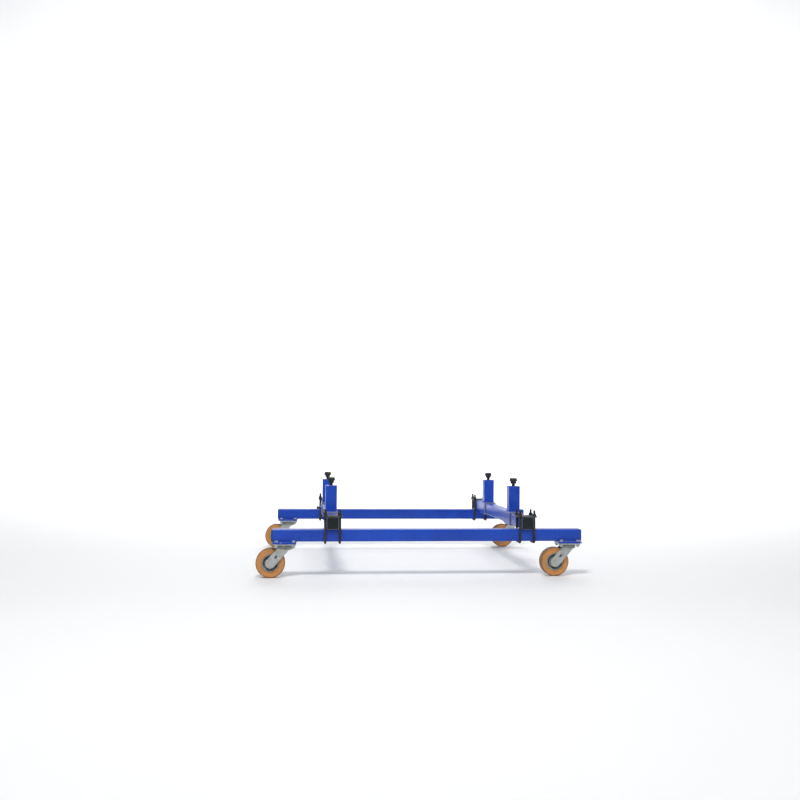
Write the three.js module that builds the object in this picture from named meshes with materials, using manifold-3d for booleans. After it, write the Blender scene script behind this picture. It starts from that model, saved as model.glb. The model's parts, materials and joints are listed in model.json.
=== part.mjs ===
// Adjustable vehicle-body dolly: two square-tube rails on swivel casters, two cross tubes clamped
// over them with square-bend U-bolts, and four posts with screw-adjusted saddles that slide along
// the cross tubes. Millimetres. +X runs along the rails to the front, +Y to the left, +Z up.

import * as THREE from "three";
import { mergeVertices } from "three/addons/utils/BufferGeometryUtils.js";
import Module from "manifold-3d";

const wasm = await Module();
wasm.setup();

// Layout
const railLength = 1650;
const trackWidth = 1240; // between the rails' centre lines
const frontCrossInset = 297; // front cross tube's centre from the rails' front ends
const rearCrossInset = 313;
const postInset = 280; // post centre from its rail's centre line
const crossOverhang = 14; // cross tube's end past the rail's outer face

// Gaps between pieces
const restGap = 0.3; // between pieces that rest on or are welded to each other
const slideGap = 0.35; // sleeve to cross tube, on each side
const pinGap = 0.35; // round pieces in their holes
const legGap = 0.45; // U-bolt leg to tube face

// Facets
const mergeDistance = 1e-4;
const overlap = 1; // how far joined pieces run into each other, and cutters run past
const cornerSteps = 1; // halves of a tube's or plate's round corner
const legEndSteps = 5;
const crownSides = 16;
const saddleSides = 16;
const kingpinSides = 10;
const holeSides = 8;
const rodSides = 10;
const washerSides = 12;
const bendSteps = 2;
const wheelSides = 24;

// Square tube
const railSize = 63.5;
const crossSize = 63.5;
const tubeWall = 4;
const tubeCorner = 6;
const plugFlange = 4;
const plugDepth = 22;
const plugCorner = 2;
const leastCorner = 1; // of a tube's inside

// Casters
const wheelRadius = 76.2;
const wheelWidth = 50;
const treadChamfer = 5;
const coreRadius = 46;
const rimWall = 6;
const rimInset = 2;
const webThickness = 10;
const hubRadius = 19;
const hubSideGap = 1; // hub end to fork leg
const axleRadius = 6;
const axleThreadShow = 3; // axle end past its nut
const trail = 74; // swivel axis to axle
const swivelInset = 66; // swivel axis from the rail's end
const crownRadius = 44;
const crownFloor = 6;
const crownCupDepth = 13;
const crownCupWall = 6;
const crownChamfer = 4;
const crownBossRadius = 30;
const crownBossDepth = 5;
const crownWheelGap = 5;
const crownPlateGap = 4;
const kingpinRadius = 8;
const kingpinNutFlats = 24;
const kingpinNutHeight = 8;
const raceClearance = 1.2; // bearing space between the two races
const legThickness = 5;
const legWheelGap = 5.5;
const legEndRadius = 26;
const legRearReach = 38; // leg's rear edge behind the swivel axis, where it meets the crown
const legFrontReach = 13; // and its front edge ahead of the axis, before it flares
const legFlare = 12; // radius of the flare into the crown
const legHoleRadius = 4.5;
const legHoleOffset = 44; // along the leg from the axle
const legHoleHalf = 3.5; // slot's middle to its round ends
const casterPlateLength = 114;
const casterPlateWidth = 112;
const casterPlateThickness = 6;
const plateBoltX = 45;
const plateBoltY = 45;
const plateBoltRadius = 5;
const plateCorner = 8;

// Mount plates under the rail ends
const mountPlateLength = 124;
const mountPlateWidth = 114;
const mountPlateThickness = 10;

// Clamps
const rodRadius = 6;
const threadShow = 19; // rod end above its nut
const clampPlateThickness = 6;
const clampPlateMargin = 6.8;
const clampPlateCorner = 5;
const washerThickness = 2.5;
const washerReach = 6; // washer's edge past the rod
const nutHeightFactor = 1.67; // nut height by rod radius
const nutFlatsFactor = 3.08; // nut width across flats by rod radius

// Posts and saddles
const sleeveWall = 6;
const sleeveLength = 125;
const postSize = 63.5;
const postHeight = 143; // above the sleeve
const postWeldDepth = 2;
const capThickness = 8;
const stemRadius = 9.5;
const stemInside = 80; // length held inside the post
const stemGap = 14; // post top to the collar
const collarFlats = 30;
const collarHeight = 13;
const saddleRadius = 22;
const saddleFloor = 2.5;
const saddleHeight = 8;
const saddleWall = 1.7;
const padStand = 10; // pad top above the saddle's rim
const padEdge = 2;

// Heights, from the floor up
const halfRail = railSize / 2;
const halfCross = crossSize / 2;
const crownBottom = wheelRadius
  + Math.sqrt(wheelRadius ** 2 - (trail - crownRadius - crownWheelGap) ** 2);
const crownFloorTop = crownBottom + crownFloor;
const crownTop = crownFloorTop + crownCupDepth;
const casterPlateBottom = crownTop + crownPlateGap;
const casterPlateTop = casterPlateBottom + casterPlateThickness;
const mountPlateBottom = casterPlateTop + restGap;
const mountPlateTop = mountPlateBottom + mountPlateThickness;
const railBottom = mountPlateTop + restGap;
const railTop = railBottom + railSize;
const railMiddle = railBottom + halfRail;
const crossMiddle = railTop + restGap + halfCross;
const crossTop = crossMiddle + halfCross;
const clampPlateBottom = crossTop + restGap;
const clampPlateTop = clampPlateBottom + clampPlateThickness;
const nutHeight = nutHeightFactor * rodRadius;
const nutTop = clampPlateTop + washerThickness + nutHeight;
const rodTop = nutTop + threadShow;
const rodBottom = railBottom - restGap - rodRadius; // centre of the bar under the rail
const sleeveInside = crossSize + 2 * slideGap;
const sleeveOutside = sleeveInside + 2 * sleeveWall;
const sleeveTop = crossMiddle + sleeveOutside / 2;
const postTop = sleeveTop + postHeight;
const collarBottom = postTop + stemGap;
const saddleBottom = collarBottom + collarHeight;

// Places across and along
const halfTrack = trackWidth / 2;
const crossLength = trackWidth + railSize + 2 * crossOverhang;
const legAcross = halfRail + legGap + rodRadius; // U-bolt leg from the crossing, across the rail
const legAlong = halfCross + legGap + rodRadius; // and along the rail
const forkInside = wheelWidth / 2 + legWheelGap;
const forkOutside = forkInside + legThickness;
const swivelX = railLength / 2 - swivelInset;
const frontReach = railLength / 2 + restGap + plugFlange;
const rearReach = swivelX + trail + wheelRadius;
const originShift = (rearReach - frontReach) / 2; // puts the origin under the middle of the dolly
const crossX = {
  front: railLength / 2 - frontCrossInset,
  rear: rearCrossInset - railLength / 2,
};
const corners = [
  { name: "front_right", end: "front", along: 1, across: -1 },
  { name: "front_left", end: "front", along: 1, across: 1 },
  { name: "rear_right", end: "rear", along: -1, across: -1 },
  { name: "rear_left", end: "rear", along: -1, across: 1 },
];

const finishes = {
  bluePaint: { color: 0x2a4db8, roughness: 0.45, metalness: 0.1 },
  blackOxide: { color: 0x17181b, roughness: 0.5, metalness: 0.6 },
  zinc: { color: 0xb9bcc0, roughness: 0.35, metalness: 0.9 },
  plastic: { color: 0x141517, roughness: 0.6, metalness: 0 },
  castCore: { color: 0x8d9196, roughness: 0.55, metalness: 0.4 },
  polyurethane: { color: 0xcd8b4a, roughness: 0.5, metalness: 0 },
  rubber: { color: 0x1b1b1c, roughness: 0.85, metalness: 0 },
};

// A closed three.js geometry as a solid that can be joined and cut
function toSolid(geometry) {
  const bare = geometry.clone();
  bare.deleteAttribute("normal");
  bare.deleteAttribute("uv");
  const merged = mergeVertices(bare, mergeDistance);
  return new wasm.Manifold(new wasm.Mesh({
    numProp: 3,
    vertProperties: new Float32Array(merged.attributes.position.array),
    triVerts: new Uint32Array(merged.index.array),
  }));
}

function joined(geometries) {
  return geometries.map(toSolid).reduce((whole, piece) => whole.add(piece));
}

function cutBy(solid, geometries) {
  return geometries.map(toSolid).reduce((whole, piece) => whole.subtract(piece), solid);
}

function toGeometry(solid) {
  const mesh = solid.getMesh();
  const geometry = new THREE.BufferGeometry();
  geometry.setAttribute("position", new THREE.BufferAttribute(mesh.vertProperties, 3));
  geometry.setIndex(new THREE.BufferAttribute(mesh.triVerts, 1));
  geometry.computeVertexNormals();
  return geometry;
}

function named(name, geometry, finish) {
  const mesh = new THREE.Mesh(geometry, new THREE.MeshStandardMaterial(finishes[finish]));
  mesh.name = name;
  return mesh;
}

function at(mesh, x, y, z) {
  mesh.position.set(x, y, z);
  return mesh;
}

// Rectangle with round corners, centred on the origin
function roundedRectangle(length, width, corner) {
  const x = length / 2 - corner;
  const y = width / 2 - corner;
  const shape = new THREE.Shape();
  shape.absarc(x, y, corner, 0, Math.PI / 2, false);
  shape.absarc(-x, y, corner, Math.PI / 2, Math.PI, false);
  shape.absarc(-x, -y, corner, Math.PI, 1.5 * Math.PI, false);
  shape.absarc(x, -y, corner, 1.5 * Math.PI, 2 * Math.PI, false);
  shape.closePath();
  return shape;
}

// Extruded from z = 0 up to the given height
function slab(shape, height) {
  return new THREE.ExtrudeGeometry(shape, {
    depth: height,
    bevelEnabled: false,
    curveSegments: cornerSteps,
  });
}

// Upright round bar between two heights
function bar(radius, bottom, top, sides) {
  const geometry = new THREE.CylinderGeometry(radius, radius, top - bottom, sides);
  geometry.rotateX(Math.PI / 2);
  geometry.translate(0, 0, (top + bottom) / 2);
  return geometry;
}

// Upright cutter for a round hole, with its facets outside the true circle
function holeCutter(radius, bottom, top) {
  return bar(radius / Math.cos(Math.PI / holeSides), bottom, top, holeSides);
}

// Upright hexagon between two heights, sized across its flats
function hexagon(flats, bottom, top) {
  return bar(flats / Math.sqrt(3), bottom, top, 6);
}

// Profile of [radius, height] pairs turned about the Z axis
function turned(profile, sides) {
  const points = profile.map(([radius, height]) => new THREE.Vector2(radius, height));
  const geometry = new THREE.LatheGeometry(points, sides);
  geometry.rotateX(Math.PI / 2);
  return geometry;
}

// Square tube along Z, centred on the origin, with its ends open
function squareTube(size, wall, corner, length) {
  const shape = roundedRectangle(size, size, corner);
  const inside = size - 2 * wall;
  shape.holes.push(roundedRectangle(inside, inside, Math.max(corner - wall, leastCorner)));
  const geometry = slab(shape, length);
  geometry.translate(0, 0, -length / 2);
  return geometry;
}

// Push-in end plug: a flange on the tube's end and a block inside it, pointing along +Z
function plugGeometry(size) {
  const inside = size - 2 * tubeWall - 2 * restGap;
  const flange = slab(roundedRectangle(size, size, tubeCorner), plugFlange);
  flange.translate(0, 0, restGap);
  const block = slab(roundedRectangle(inside, inside, plugCorner), plugDepth + restGap + overlap);
  block.translate(0, 0, -plugDepth);
  return toGeometry(joined([flange, block]));
}

function railMeshes() {
  return [["right", -1], ["left", 1]].map(([side, across]) => {
    const geometry = squareTube(railSize, tubeWall, tubeCorner, railLength);
    geometry.rotateY(Math.PI / 2);
    return at(named(`rail_${side}`, geometry, "bluePaint"), 0, across * halfTrack, railMiddle);
  });
}

function railPlugMesh(corner) {
  const geometry = plugGeometry(railSize);
  geometry.rotateY(corner.along * Math.PI / 2);
  const plug = named(`rail_plug_${corner.name}`, geometry, "plastic");
  return at(plug, corner.along * railLength / 2, corner.across * halfTrack, railMiddle);
}

function crossTubeMesh(end) {
  const geometry = squareTube(crossSize, tubeWall, tubeCorner, crossLength);
  geometry.rotateX(Math.PI / 2);
  return at(named(`cross_tube_${end}`, geometry, "bluePaint"), crossX[end], 0, crossMiddle);
}

function crossPlugMesh(corner) {
  const geometry = plugGeometry(crossSize);
  geometry.rotateX(-corner.across * Math.PI / 2);
  const plug = named(`cross_plug_${corner.name}`, geometry, "plastic");
  return at(plug, crossX[corner.end], corner.across * crossLength / 2, crossMiddle);
}

// The four bolt holes that the mount plate and the caster plate share, about the swivel axis
function plateHoles(bottom, top) {
  const holes = [];
  for (const x of [-plateBoltX, plateBoltX]) {
    for (const y of [-plateBoltY, plateBoltY]) {
      const hole = holeCutter(plateBoltRadius + pinGap, bottom - overlap, top + overlap);
      hole.translate(x, y, 0);
      holes.push(hole);
    }
  }
  return holes;
}

// Flat plate welded under the rail, flush with its end; the origin is the swivel axis
function mountPlateMesh(corner) {
  const shape = roundedRectangle(mountPlateLength, mountPlateWidth, plateCorner);
  const plate = slab(shape, mountPlateThickness);
  plate.translate(corner.along * (swivelInset - mountPlateLength / 2), 0, mountPlateBottom);
  const solid = cutBy(toSolid(plate), plateHoles(mountPlateBottom, mountPlateTop));
  return named(`mount_plate_${corner.name}`, toGeometry(solid), "bluePaint");
}

// Top plate with the fixed bearing race, the kingpin and its nut
function casterPlateMesh(corner) {
  const shape = roundedRectangle(casterPlateLength, casterPlateWidth, plateCorner);
  const plate = slab(shape, casterPlateThickness);
  plate.translate(0, 0, casterPlateBottom);
  const raceRadius = crownRadius - crownCupWall - raceClearance;
  const nutTopHeight = crownBottom - crownBossDepth - restGap;
  const nutBottom = nutTopHeight - kingpinNutHeight;
  const solid = joined([
    plate,
    bar(raceRadius, crownFloorTop + raceClearance, casterPlateBottom + overlap, crownSides),
    bar(kingpinRadius, nutBottom, casterPlateBottom, kingpinSides),
    hexagon(kingpinNutFlats, nutBottom, nutTopHeight),
  ]);
  const drilled = cutBy(solid, plateHoles(casterPlateBottom, casterPlateTop));
  return named(`caster_plate_${corner.name}`, toGeometry(drilled), "zinc");
}

// Slope of the fork legs, from the axle to the middle of their top ends
function legLean() {
  const topMiddle = (legFrontReach - legRearReach) / 2;
  return Math.atan2(crownBottom - wheelRadius, trail + topMiddle);
}

// Outline of a fork leg in the plane of the wheel: a round end at the axle, and edges up to the
// crown, where the front one flares out in a quarter circle
function forkLegShape() {
  const lean = legLean();
  const flareFront = legFrontReach + legFlare;
  const shape = new THREE.Shape();
  shape.absarc(-trail, wheelRadius, legEndRadius, lean + Math.PI / 2, lean + 1.5 * Math.PI, false);
  shape.lineTo(legFrontReach, crownBottom - legFlare);
  shape.absarc(flareFront, crownBottom - legFlare, legFlare, Math.PI, Math.PI / 2, true);
  shape.lineTo(flareFront, crownFloorTop);
  shape.lineTo(-legRearReach, crownFloorTop);
  shape.closePath();
  return shape;
}

// Cutter for a hole through both fork legs, at a distance up the leg from the axle
function legHoleCutter(radius, offset) {
  const lean = legLean();
  const cutter = holeCutter(radius, -forkOutside - overlap, forkOutside + overlap);
  cutter.rotateX(Math.PI / 2);
  return cutter.translate(offset * Math.cos(lean) - trail, 0, offset * Math.sin(lean) + wheelRadius);
}

// Cup-shaped crown with two legs that trail to the rear
function casterForkMesh(corner) {
  const crown = turned([
    [kingpinRadius + pinGap, crownBottom - crownBossDepth],
    [crownBossRadius, crownBottom - crownBossDepth],
    [crownBossRadius, crownBottom],
    [crownRadius - crownChamfer, crownBottom],
    [crownRadius, crownBottom + crownChamfer],
    [crownRadius, crownTop],
    [crownRadius - crownCupWall, crownTop],
    [crownRadius - crownCupWall, crownFloorTop],
    [kingpinRadius + pinGap, crownFloorTop],
    [kingpinRadius + pinGap, crownBottom - crownBossDepth],
  ], crownSides);
  const pieces = [crown];
  for (const outerFace of [-forkInside, forkOutside]) {
    const leg = new THREE.ExtrudeGeometry(forkLegShape(), {
      depth: legThickness,
      bevelEnabled: false,
      curveSegments: legEndSteps,
    });
    leg.rotateX(Math.PI / 2);
    leg.translate(0, outerFace, 0);
    pieces.push(leg);
  }
  const solid = cutBy(joined(pieces), [
    legHoleCutter(legHoleRadius, legHoleOffset - legHoleHalf),
    legHoleCutter(legHoleRadius, legHoleOffset + legHoleHalf),
    legHoleCutter(axleRadius + pinGap, 0),
  ]);
  return named(`caster_fork_${corner.name}`, toGeometry(solid), "zinc");
}

// Axle bolt with its head on one leg and its nut on the other
function casterAxleMesh(corner) {
  const flats = nutFlatsFactor * axleRadius;
  const height = nutHeightFactor * axleRadius;
  const face = forkOutside + restGap;
  const solid = joined([
    bar(axleRadius, -face - overlap, face + height + axleThreadShow, rodSides),
    hexagon(flats, -face - height, -face),
    hexagon(flats, face, face + height),
  ]);
  const geometry = toGeometry(solid);
  geometry.rotateX(corner.across * Math.PI / 2);
  return at(named(`caster_axle_${corner.name}`, geometry, "zinc"), -trail, 0, wheelRadius);
}

// Profile of [radius, offset] pairs turned about the wheel's axis, with a flat facet at the bottom.
// The faceted outside is drawn round the true circle, so the wheel stands at its true height.
function wheelGeometry(profile) {
  const facet = Math.PI / wheelSides;
  const points = profile.map(([radius, offset]) => {
    return new THREE.Vector2(radius / Math.cos(facet), offset);
  });
  return new THREE.LatheGeometry(points, wheelSides, facet);
}

function wheelCoreMesh(corner) {
  const hubHalf = forkInside - hubSideGap;
  const rimHalf = wheelWidth / 2 - rimInset;
  const webHalf = webThickness / 2;
  const rimInside = coreRadius - rimWall;
  const bore = axleRadius + pinGap;
  const geometry = wheelGeometry([
    [bore, -hubHalf],
    [hubRadius, -hubHalf],
    [hubRadius, -webHalf],
    [rimInside, -webHalf],
    [rimInside, -rimHalf],
    [coreRadius, -rimHalf],
    [coreRadius, rimHalf],
    [rimInside, rimHalf],
    [rimInside, webHalf],
    [hubRadius, webHalf],
    [hubRadius, hubHalf],
    [bore, hubHalf],
    [bore, -hubHalf],
  ]);
  return at(named(`wheel_core_${corner.name}`, geometry, "castCore"), -trail, 0, wheelRadius);
}

function wheelTreadMesh(corner) {
  const half = wheelWidth / 2;
  const inside = coreRadius + restGap;
  const geometry = wheelGeometry([
    [inside, -half],
    [wheelRadius - treadChamfer, -half],
    [wheelRadius, -half + treadChamfer],
    [wheelRadius, half - treadChamfer],
    [wheelRadius - treadChamfer, half],
    [inside, half],
    [inside, -half],
  ]);
  return at(named(`wheel_tread_${corner.name}`, geometry, "polyurethane"), -trail, 0, wheelRadius);
}

// Mount plate and caster of one corner, placed on its swivel axis
function casterGroup(corner) {
  const group = new THREE.Group();
  group.position.set(corner.along * swivelX, corner.across * halfTrack, 0);
  group.add(mountPlateMesh(corner));
  group.add(casterPlateMesh(corner));
  group.add(casterForkMesh(corner));
  group.add(casterAxleMesh(corner));
  group.add(wheelCoreMesh(corner));
  group.add(wheelTreadMesh(corner));
  return group;
}

// A path through chosen stations, each a point and the direction through it
class StationPath extends THREE.Curve {
  constructor(stations) {
    super();
    this.stations = stations;
  }

  station(u) {
    return this.stations[Math.round(u * (this.stations.length - 1))];
  }

  getPoint(t) {
    return this.station(t).point.clone();
  }

  getPointAt(u) {
    return this.station(u).point.clone();
  }

  getTangentAt(u) {
    return this.station(u).direction.clone();
  }

  getSpacedPoints() {
    return this.stations.map((station) => station.point.clone());
  }
}

// Square-bend U: down one leg, round two bends with the bar under the rail, and up the other leg
function uBoltGeometry() {
  const bend = rodRadius + tubeCorner;
  const stations = [];
  const down = new THREE.Vector3(0, 0, -1);
  const up = new THREE.Vector3(0, 0, 1);
  stations.push({ point: new THREE.Vector3(0, -legAcross, rodTop), direction: down });
  for (const [side, start] of [[-1, Math.PI], [1, 1.5 * Math.PI]]) {
    for (let step = 0; step <= bendSteps; step += 1) {
      const angle = start + (step / bendSteps) * Math.PI / 2;
      const y = side * (legAcross - bend) + bend * Math.cos(angle);
      const z = rodBottom + bend + bend * Math.sin(angle);
      stations.push({
        point: new THREE.Vector3(0, y, z),
        direction: new THREE.Vector3(0, -Math.sin(angle), Math.cos(angle)),
      });
    }
  }
  stations.push({ point: new THREE.Vector3(0, legAcross, rodTop), direction: up });
  const section = new THREE.Shape();
  section.setFromPoints(Array.from({ length: rodSides }, (_, side) => {
    const angle = 2 * Math.PI * side / rodSides;
    return new THREE.Vector2(rodRadius * Math.cos(angle), rodRadius * Math.sin(angle));
  }));
  return new THREE.ExtrudeGeometry(section, {
    steps: stations.length - 1,
    extrudePath: new StationPath(stations),
  });
}

function uBoltMesh(corner, side, along) {
  const bolt = named(`u_bolt_${corner.name}_${side}`, uBoltGeometry(), "blackOxide");
  return at(bolt, along * legAlong, 0, 0);
}

// Clamp plate over the cross tube, with a washer and a nut at each U-bolt leg
function clampPlateMesh(corner) {
  const length = 2 * (legAlong + rodRadius + clampPlateMargin);
  const width = 2 * (legAcross + rodRadius + clampPlateMargin);
  const plate = slab(roundedRectangle(length, width, clampPlateCorner), clampPlateThickness);
  plate.translate(0, 0, clampPlateBottom);
  const pieces = [plate];
  const holes = [];
  const washerTop = clampPlateTop + washerThickness;
  for (const x of [-legAlong, legAlong]) {
    for (const y of [-legAcross, legAcross]) {
      const washer = bar(rodRadius + washerReach, clampPlateTop - overlap, washerTop, washerSides);
      const nut = hexagon(nutFlatsFactor * rodRadius, washerTop - overlap, nutTop);
      const hole = holeCutter(rodRadius + pinGap, clampPlateBottom - overlap, nutTop + overlap);
      pieces.push(washer.translate(x, y, 0), nut.translate(x, y, 0));
      holes.push(hole.translate(x, y, 0));
    }
  }
  const solid = cutBy(joined(pieces), holes);
  return named(`clamp_plate_${corner.name}`, toGeometry(solid), "blackOxide");
}

// Two U-bolts and a clamp plate where a cross tube passes over a rail
function clampGroup(corner) {
  const group = new THREE.Group();
  group.position.set(crossX[corner.end], corner.across * halfTrack, 0);
  group.add(uBoltMesh(corner, "front", 1));
  group.add(uBoltMesh(corner, "rear", -1));
  group.add(clampPlateMesh(corner));
  return group;
}

// Sleeve round the cross tube with a square post welded on it and a cap that guides the stem
function postCarrierMesh(corner) {
  const sleeve = squareTube(sleeveOutside, sleeveWall, tubeCorner, sleeveLength);
  sleeve.rotateX(Math.PI / 2);
  sleeve.translate(0, 0, crossMiddle);
  const tubeHeight = postHeight + postWeldDepth - capThickness / 2;
  const post = squareTube(postSize, tubeWall, tubeCorner, tubeHeight);
  post.translate(0, 0, sleeveTop - postWeldDepth + tubeHeight / 2);
  const cap = slab(roundedRectangle(postSize, postSize, tubeCorner), capThickness);
  cap.translate(0, 0, postTop - capThickness);
  const hole = holeCutter(stemRadius + pinGap, postTop - capThickness - overlap, postTop + overlap);
  const solid = cutBy(joined([sleeve, post, cap]), [hole]);
  return named(`post_carrier_${corner.name}`, toGeometry(solid), "bluePaint");
}

// Threaded stem with a hexagon collar and the cup that holds the pad
function saddleStemMesh(corner) {
  const cup = turned([
    [0, saddleBottom],
    [saddleRadius, saddleBottom],
    [saddleRadius, saddleBottom + saddleHeight],
    [saddleRadius - saddleWall, saddleBottom + saddleHeight],
    [saddleRadius - saddleWall, saddleBottom + saddleFloor],
    [0, saddleBottom + saddleFloor],
  ], saddleSides);
  const solid = joined([
    bar(stemRadius, postTop - stemInside, saddleBottom, rodSides),
    hexagon(collarFlats, collarBottom, saddleBottom + saddleFloor / 2),
    cup,
  ]);
  return named(`saddle_stem_${corner.name}`, toGeometry(solid), "blackOxide");
}

function saddlePadMesh(corner) {
  const radius = saddleRadius - saddleWall - restGap;
  const bottom = saddleBottom + saddleFloor + restGap;
  const top = saddleBottom + saddleHeight + padStand;
  const geometry = turned([
    [0, bottom],
    [radius, bottom],
    [radius, top - padEdge],
    [radius - padEdge, top],
    [0, top],
  ], saddleSides);
  return named(`saddle_pad_${corner.name}`, geometry, "rubber");
}

function postGroup(corner) {
  const group = new THREE.Group();
  group.position.set(crossX[corner.end], corner.across * (halfTrack - postInset), 0);
  group.add(postCarrierMesh(corner));
  group.add(saddleStemMesh(corner));
  group.add(saddlePadMesh(corner));
  return group;
}

const dolly = new THREE.Group();
dolly.position.x = originShift;
dolly.add(...railMeshes());
dolly.add(crossTubeMesh("front"), crossTubeMesh("rear"));
for (const corner of corners) {
  dolly.add(railPlugMesh(corner), crossPlugMesh(corner));
  dolly.add(casterGroup(corner), clampGroup(corner), postGroup(corner));
}

export default dolly;
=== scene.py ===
import math
import json
import bmesh
import bpy
import numpy as np
from mathutils import Matrix, Vector


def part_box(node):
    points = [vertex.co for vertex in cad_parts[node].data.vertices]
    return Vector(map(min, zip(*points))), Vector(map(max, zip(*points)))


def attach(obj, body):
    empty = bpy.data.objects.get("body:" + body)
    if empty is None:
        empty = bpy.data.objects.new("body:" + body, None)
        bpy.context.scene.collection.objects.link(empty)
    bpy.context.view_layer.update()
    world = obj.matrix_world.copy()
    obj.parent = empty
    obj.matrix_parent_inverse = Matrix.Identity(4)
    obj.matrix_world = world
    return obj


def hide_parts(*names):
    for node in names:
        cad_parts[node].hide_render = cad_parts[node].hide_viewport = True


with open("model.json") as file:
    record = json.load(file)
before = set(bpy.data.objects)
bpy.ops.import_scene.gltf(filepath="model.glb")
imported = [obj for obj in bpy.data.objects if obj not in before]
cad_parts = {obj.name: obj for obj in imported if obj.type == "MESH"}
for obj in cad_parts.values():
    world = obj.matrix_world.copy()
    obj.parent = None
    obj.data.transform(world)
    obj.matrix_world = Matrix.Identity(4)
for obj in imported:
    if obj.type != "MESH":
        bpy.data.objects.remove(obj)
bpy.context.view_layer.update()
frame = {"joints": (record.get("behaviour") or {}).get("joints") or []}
tau = 2 * math.pi
cornerNames = ["front_right", "front_left", "rear_right", "rear_left"]


# round section: a circle of that radius, point by point round the loop
def roundLoop(radius, count=32):
    turn = np.arange(count) / count * tau
    return np.stack([np.cos(turn), np.sin(turn)], 1) * radius


# square section: the corner arcs of a rectangle, each a quarter circle of the corner radius
def squareLoop(halfU, halfV, corner, steps=6):
    quarter = np.linspace(0, tau / 4, steps + 1)
    starts = np.arange(4)[:, None] * tau / 4 + quarter[None, :]
    signs = np.array([[1, 1], [-1, 1], [-1, -1], [1, -1]], float)
    centres = signs * np.array([halfU - corner, halfV - corner])
    arcs = np.stack([np.cos(starts), np.sin(starts)], 2) * corner
    return (centres[:, None, :] + arcs).reshape(-1, 2)


# hexagon section: half the width across flats over the cosine of the angle from the nearest flat,
# held inside a circle, which cuts the chamfer at a nut's corners
def hexLoop(flats, limit, count=48):
    turn = np.arange(count) / count * tau
    fromFlat = np.mod(turn + tau / 12, tau / 6) - tau / 12
    radius = np.minimum(flats / 2 / np.cos(fromFlat), limit)
    return np.stack([np.cos(turn), np.sin(turn)], 1) * radius[:, None]


# a profile's inner corners swapped for small quadratic curves that start and end `reach` away, or
# the share `most` along a side that is short
def softened(points, reach, steps=4, most=0.45):
    points = np.array(points, float)
    out = [points[:1]]
    share = np.linspace(0, 1, steps + 1)[:, None]
    for before, corner, after in zip(points[:-2], points[1:-1], points[2:]):
        back, ahead = before - corner, after - corner
        lengths = [max(np.linalg.norm(side), 1e-9) for side in (back, ahead)]
        start = corner + back * min(reach / lengths[0], most)
        end = corner + ahead * min(reach / lengths[1], most)
        out.append((1 - share) ** 2 * start + 2 * share * (1 - share) * corner + share ** 2 * end)
    out.append(points[-1:])
    return np.concatenate(out)


# a new object with that data, put in the scene
def added(name, data):
    made = bpy.data.objects.new(name, data)
    bpy.context.scene.collection.objects.link(made)
    return made


# half a section followed by its mirror image across the wheel's middle
def mirrored(half):
    return np.concatenate([half, half[::-1] * np.array([1, -1])])


# places loops (m, n, 2) at heights (m) along an axis, about a centre, as (m, n, 3)
def placed(loops, heights, axis, centre):
    loops = np.asarray(loops, float)
    heights = np.broadcast_to(np.asarray(heights, float)[:, None], loops.shape[:2])
    order = {"z": (0, 1, 2), "x": (2, 0, 1), "y": (1, 2, 0)}[axis]
    stacked = np.stack([loops[..., 0], loops[..., 1], heights], 2)
    return stacked[..., order] + np.array(centre, float)


# one mesh in the making: closed shells from lofted grids, with a wear value at each point; a negative
# value marks painted shade
class Piece:
    def __init__(self):
        self.points, self.faces, self.wear, self.count = [], [], [], 0

    # rings (m, n, 3) joined by quads; joined=True runs the last ring back to the first, as round
    # a tube's wall, and otherwise both ends are capped
    def loft(self, rings, joined=False, wear=0.0):
        rings = np.asarray(rings, float)
        rows, columns = rings.shape[:2]
        ids = np.arange(rows * columns).reshape(rows, columns) + self.count
        if joined:
            ids = np.vstack([ids, ids[:1]])
        near, far = ids[:-1], ids[1:]
        quads = np.stack([near, np.roll(near, -1, 1), np.roll(far, -1, 1), far], 2)
        self.faces += quads.reshape(-1, 4).tolist()
        if not joined:
            self.faces += [ids[0, ::-1].tolist(), ids[-1].tolist()]
        self.points.append(rings.reshape(-1, 3))
        self.wear.append(np.broadcast_to(wear, (rows, columns)).reshape(-1))
        self.count += rows * columns
        return self

    # makes the object in its slot's coat, riding on the body and standing for the nodes
    def finish(self, name, body, slotName, *nodes, sharp=32):
        mesh = bpy.data.meshes.new(name)
        points = np.concatenate(self.points)
        mesh.from_pydata(points.tolist(), [], self.faces)
        wearAndShade = mesh.attributes.new("edgeWearAndShade", "FLOAT", "POINT")
        wearAndShade.data.foreach_set("value", np.concatenate(self.wear).astype(np.float32))
        shell = bmesh.new()
        shell.from_mesh(mesh)
        bmesh.ops.recalc_face_normals(shell, faces=shell.faces)
        shell.to_mesh(mesh)
        shell.free()
        mesh.polygons.foreach_set("use_smooth", [True] * len(mesh.polygons))
        mesh.set_sharp_from_angle(angle=math.radians(sharp))
        mesh.materials.append(coats[slotName])
        made = added(name, mesh)
        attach(made, body)
        if nodes:
            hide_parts(*nodes)


# a turned shape: profile points (radius, height), each a circle of its own radius
def turnedRings(profile, axis, centre, count=48):
    profile = np.asarray(profile, float)
    circle = roundLoop(1.0, count)
    loops = circle[None] * np.maximum(profile[:, :1, None], 1e-6)
    return placed(loops, profile[:, 1], axis, centre)


edgeLook = {"step": 0.3, "leastCorner": 2e-4, "wear": (0.4, 1, 0.7)}
plateWear = np.array(edgeLook["wear"] + edgeLook["wear"][::-1])[:, None]


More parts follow.
